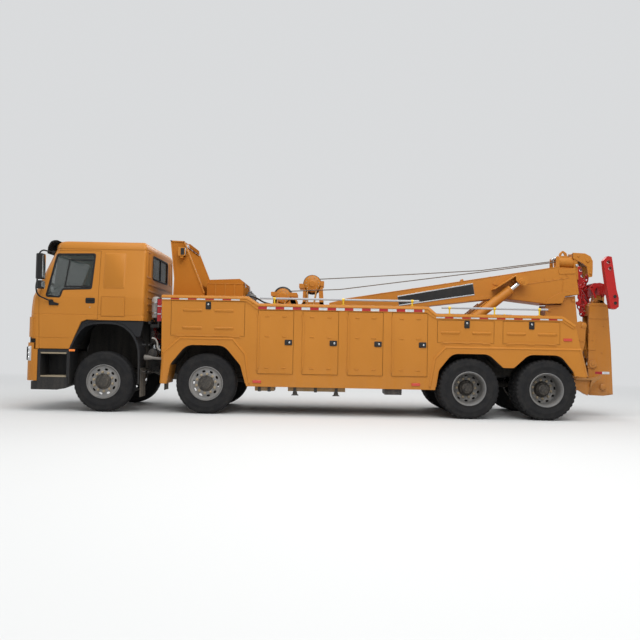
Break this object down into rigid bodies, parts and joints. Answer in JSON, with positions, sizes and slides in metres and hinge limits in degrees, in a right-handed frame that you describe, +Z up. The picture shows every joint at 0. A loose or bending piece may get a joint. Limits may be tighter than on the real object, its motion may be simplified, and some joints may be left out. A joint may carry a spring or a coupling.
{
  "type": "tow truck",
  "caption": "Heavy recovery truck with a forward-control cab, hinged side lockers, a lifting telescopic boom, winches and a folding underlift at the rear.",
  "frame": {"origin": "centre of the bounding box in plan, on the ground under the tyres", "axes": "+X rearward along the truck with the cab at -X, +Y to the vehicle's right-hand side, +Z up"},
  "size_m": [10.698, 3, 3.14],
  "materials": {
    "yellow_paint": "gloss",
    "black_paint": "satin",
    "chassis_paint": "satin",
    "red_paint": "gloss",
    "orange_tank": "satin",
    "tyre_rubber": "matt",
    "clear_glass": "clear",
    "trim_plastic": "matt",
    "lamp_lens": "clear",
    "seat_fabric": "woven",
    "chrome_rod": "polished",
    "cast_metal": "cast",
    "rail_metal": "satin"
  },
  "bodies": {
    "chassis": {"running_gear": "chassis_paint", "chassis_frame": "chassis_paint", "engine": "cast_metal", "cab_shell": "yellow_paint", "cab_glass": "clear_glass", "cab_interior": "seat_fabric", "cab_skirts": "trim_plastic", "front_bumper": "yellow_paint", "lamps": "lamp_lens", "air_cleaner": "black_paint", "locker_body_left": "yellow_paint", "locker_body_right": "yellow_paint", "deck": "yellow_paint", "arch_liners": "trim_plastic", "deck_rails": "rail_metal", "gantry": "yellow_paint", "winches": "black_paint", "tanks": "orange_tank", "tail_frame": "black_paint"},
    "knuckle_1_left": {"knuckle_1_left": "cast_metal"},
    "wheel_1_left": {"wheel_1_left": "tyre_rubber"},
    "knuckle_1_right": {"knuckle_1_right": "cast_metal"},
    "wheel_1_right": {"wheel_1_right": "tyre_rubber"},
    "knuckle_2_left": {"knuckle_2_left": "cast_metal"},
    "wheel_2_left": {"wheel_2_left": "tyre_rubber"},
    "knuckle_2_right": {"knuckle_2_right": "cast_metal"},
    "wheel_2_right": {"wheel_2_right": "tyre_rubber"},
    "wheel_3_left": {"wheel_3_left": "tyre_rubber"},
    "wheel_3_right": {"wheel_3_right": "tyre_rubber"},
    "wheel_4_left": {"wheel_4_left": "tyre_rubber"},
    "wheel_4_right": {"wheel_4_right": "tyre_rubber"},
    "cab_door_left": {"cab_door_left": "yellow_paint", "door_glass_left": "clear_glass", "mirror_left": "black_paint"},
    "door_d1_left": {"door_d1_left": "yellow_paint"},
    "door_d2_left": {"door_d2_left": "yellow_paint"},
    "door_d3_left": {"door_d3_left": "yellow_paint"},
    "door_d4_left": {"door_d4_left": "yellow_paint"},
    "door_a_left": {"door_a_left": "yellow_paint"},
    "door_d5_left": {"door_d5_left": "yellow_paint"},
    "door_d6_left": {"door_d6_left": "yellow_paint"},
    "cab_door_right": {"cab_door_right": "yellow_paint", "door_glass_right": "clear_glass", "mirror_right": "black_paint"},
    "door_d1_right": {"door_d1_right": "yellow_paint"},
    "door_d2_right": {"door_d2_right": "yellow_paint"},
    "door_d3_right": {"door_d3_right": "yellow_paint"},
    "door_d4_right": {"door_d4_right": "yellow_paint"},
    "door_a_right": {"door_a_right": "yellow_paint"},
    "door_d5_right": {"door_d5_right": "yellow_paint"},
    "door_d6_right": {"door_d6_right": "yellow_paint"},
    "boom": {"boom": "yellow_paint"},
    "boom_ext": {"boom_ext": "yellow_paint"},
    "lift_barrels": {"lift_barrels": "yellow_paint"},
    "lift_rods": {"lift_rods": "chrome_rod"},
    "underlift_arm": {"underlift_arm": "yellow_paint"},
    "underlift_ext": {"underlift_ext": "black_paint"},
    "crossbar": {"crossbar": "red_paint"},
    "fold_barrel": {"fold_barrel": "black_paint"},
    "fold_rod": {"fold_rod": "chrome_rod"}
  },
  "joints": [
    {"name": "steer_1_left", "type": "hinge", "parent": "chassis", "child": "knuckle_1_left", "pos_m": [-3.983, -0.86, 0.532], "axis": [0, 0, 1], "range_deg": [-35, 35]},
    {"name": "spin_1_left", "type": "hinge", "parent": "knuckle_1_left", "child": "wheel_1_left", "pos_m": [-3.983, -1.02, 0.532], "axis": [0, 1, 0], "continuous": true},
    {"name": "steer_1_right", "type": "hinge", "parent": "chassis", "child": "knuckle_1_right", "pos_m": [-3.983, 0.86, 0.532], "axis": [0, 0, 1], "range_deg": [-35, 35]},
    {"name": "spin_1_right", "type": "hinge", "parent": "knuckle_1_right", "child": "wheel_1_right", "pos_m": [-3.983, 1.02, 0.532], "axis": [0, 1, 0], "continuous": true},
    {"name": "steer_2_left", "type": "hinge", "parent": "chassis", "child": "knuckle_2_left", "pos_m": [-2.183, -0.86, 0.532], "axis": [0, 0, 1], "range_deg": [-27, 27]},
    {"name": "spin_2_left", "type": "hinge", "parent": "knuckle_2_left", "child": "wheel_2_left", "pos_m": [-2.183, -1.02, 0.532], "axis": [0, 1, 0], "continuous": true},
    {"name": "steer_2_right", "type": "hinge", "parent": "chassis", "child": "knuckle_2_right", "pos_m": [-2.183, 0.86, 0.532], "axis": [0, 0, 1], "range_deg": [-27, 27]},
    {"name": "spin_2_right", "type": "hinge", "parent": "knuckle_2_right", "child": "wheel_2_right", "pos_m": [-2.183, 1.02, 0.532], "axis": [0, 1, 0], "continuous": true},
    {"name": "spin_3_left", "type": "hinge", "parent": "chassis", "child": "wheel_3_left", "pos_m": [2.417, -0.915, 0.532], "axis": [0, 1, 0], "continuous": true},
    {"name": "spin_3_right", "type": "hinge", "parent": "chassis", "child": "wheel_3_right", "pos_m": [2.417, 0.915, 0.532], "axis": [0, 1, 0], "continuous": true},
    {"name": "spin_4_left", "type": "hinge", "parent": "chassis", "child": "wheel_4_left", "pos_m": [3.767, -0.915, 0.532], "axis": [0, 1, 0], "continuous": true},
    {"name": "spin_4_right", "type": "hinge", "parent": "chassis", "child": "wheel_4_right", "pos_m": [3.767, 0.915, 0.532], "axis": [0, 1, 0], "continuous": true},
    {"name": "cab_door_left_hinge", "type": "hinge", "parent": "chassis", "child": "cab_door_left", "pos_m": [-5.134, -1.249, 1.6], "axis": [0, 0, -1], "range_deg": [0, 70]},
    {"name": "door_d1_left_hinge", "type": "hinge", "parent": "chassis", "child": "door_d1_left", "pos_m": [-1.285, -1.242, 1.28], "axis": [0, 0, -1], "range_deg": [0, 100]},
    {"name": "door_d2_left_hinge", "type": "hinge", "parent": "chassis", "child": "door_d2_left", "pos_m": [-0.503, -1.242, 1.28], "axis": [0, 0, -1], "range_deg": [0, 100]},
    {"name": "door_d3_left_hinge", "type": "hinge", "parent": "chassis", "child": "door_d3_left", "pos_m": [0.287, -1.242, 1.28], "axis": [0, 0, -1], "range_deg": [0, 100]},
    {"name": "door_d4_left_hinge", "type": "hinge", "parent": "chassis", "child": "door_d4_left", "pos_m": [1.06, -1.242, 1.28], "axis": [0, 0, -1], "range_deg": [0, 100]},
    {"name": "door_a_left_hinge", "type": "hinge", "parent": "chassis", "child": "door_a_left", "pos_m": [-2.165, -1.242, 1.364], "axis": [1, 0, 0], "range_deg": [0, 90]},
    {"name": "door_d5_left_hinge", "type": "hinge", "parent": "chassis", "child": "door_d5_left", "pos_m": [2.3435, -1.242, 1.327], "axis": [1, 0, 0], "range_deg": [0, 90]},
    {"name": "door_d6_left_hinge", "type": "hinge", "parent": "chassis", "child": "door_d6_left", "pos_m": [3.49, -1.242, 1.327], "axis": [1, 0, 0], "range_deg": [0, 90]},
    {"name": "cab_door_right_hinge", "type": "hinge", "parent": "chassis", "child": "cab_door_right", "pos_m": [-5.134, 1.249, 1.6], "axis": [0, 0, 1], "range_deg": [0, 70]},
    {"name": "door_d1_right_hinge", "type": "hinge", "parent": "chassis", "child": "door_d1_right", "pos_m": [-1.285, 1.242, 1.28], "axis": [0, 0, 1], "range_deg": [0, 100]},
    {"name": "door_d2_right_hinge", "type": "hinge", "parent": "chassis", "child": "door_d2_right", "pos_m": [-0.503, 1.242, 1.28], "axis": [0, 0, 1], "range_deg": [0, 100]},
    {"name": "door_d3_right_hinge", "type": "hinge", "parent": "chassis", "child": "door_d3_right", "pos_m": [0.287, 1.242, 1.28], "axis": [0, 0, 1], "range_deg": [0, 100]},
    {"name": "door_d4_right_hinge", "type": "hinge", "parent": "chassis", "child": "door_d4_right", "pos_m": [1.06, 1.242, 1.28], "axis": [0, 0, 1], "range_deg": [0, 100]},
    {"name": "door_a_right_hinge", "type": "hinge", "parent": "chassis", "child": "door_a_right", "pos_m": [-2.165, 1.242, 1.364], "axis": [-1, 0, 0], "range_deg": [0, 90]},
    {"name": "door_d5_right_hinge", "type": "hinge", "parent": "chassis", "child": "door_d5_right", "pos_m": [2.3435, 1.242, 1.327], "axis": [-1, 0, 0], "range_deg": [0, 90]},
    {"name": "door_d6_right_hinge", "type": "hinge", "parent": "chassis", "child": "door_d6_right", "pos_m": [3.49, 1.242, 1.327], "axis": [-1, 0, 0], "range_deg": [0, 90]},
    {"name": "boom_lift", "type": "hinge", "parent": "chassis", "child": "boom", "pos_m": [0.097, 0, 1.895], "axis": [0, -1, 0], "range_deg": [0, 38]},
    {"name": "boom_extend", "type": "slide", "parent": "boom", "child": "boom_ext", "axis": [0.9859, 0, 0.1675], "range_m": [0, 1.5]},
    {"name": "lift_barrel_swing", "type": "hinge", "parent": "chassis", "child": "lift_barrels", "pos_m": [2.069, 0, 1.3], "axis": [0, -1, 0], "range_deg": [-0.5, 44.58]},
    {"name": "lift_rod_stroke", "type": "slide", "parent": "lift_barrels", "child": "lift_rods", "axis": [0.7705, 0, 0.6375], "range_m": [-0.01, 1.3258]},
    {"name": "underlift_fold", "type": "hinge", "parent": "chassis", "child": "underlift_arm", "pos_m": [5.147, 0, 0.56], "axis": [0, 1, 0], "range_deg": [0, 93]},
    {"name": "underlift_extend", "type": "slide", "parent": "underlift_arm", "child": "underlift_ext", "axis": [-0.0598, 0, 0.9982], "range_m": [0, 0.6]},
    {"name": "crossbar_swivel", "type": "hinge", "parent": "underlift_ext", "child": "crossbar", "pos_m": [5.097, 0, 2.4], "axis": [1, 0, 0], "range_deg": [-25, 25]},
    {"name": "fold_barrel_swing", "type": "hinge", "parent": "chassis", "child": "fold_barrel", "pos_m": [4.777, 0, 1.7], "axis": [0, -1, 0], "range_deg": [-0.5, 25.93]},
    {"name": "fold_rod_stroke", "type": "slide", "parent": "fold_barrel", "child": "fold_rod", "axis": [0.2435, 0, -0.9699], "range_m": [-0.01, 0.5314]}
  ],
  "couplings": [
    {"joint": "steer_1_right", "follows": "steer_1_left", "ratio": 1},
    {"joint": "steer_2_left", "follows": "steer_1_left", "ratio": 0.75},
    {"joint": "steer_2_right", "follows": "steer_1_left", "ratio": 0.75},
    {"joint": "lift_barrel_swing", "follows": "boom_lift", "ratio": 1.1599},
    {"joint": "lift_rod_stroke", "follows": "boom_lift", "m_per_rad": 1.984},
    {"joint": "fold_barrel_swing", "follows": "underlift_fold", "ratio": 0.27349},
    {"joint": "fold_rod_stroke", "follows": "underlift_fold", "m_per_rad": 0.32125}
  ]
}
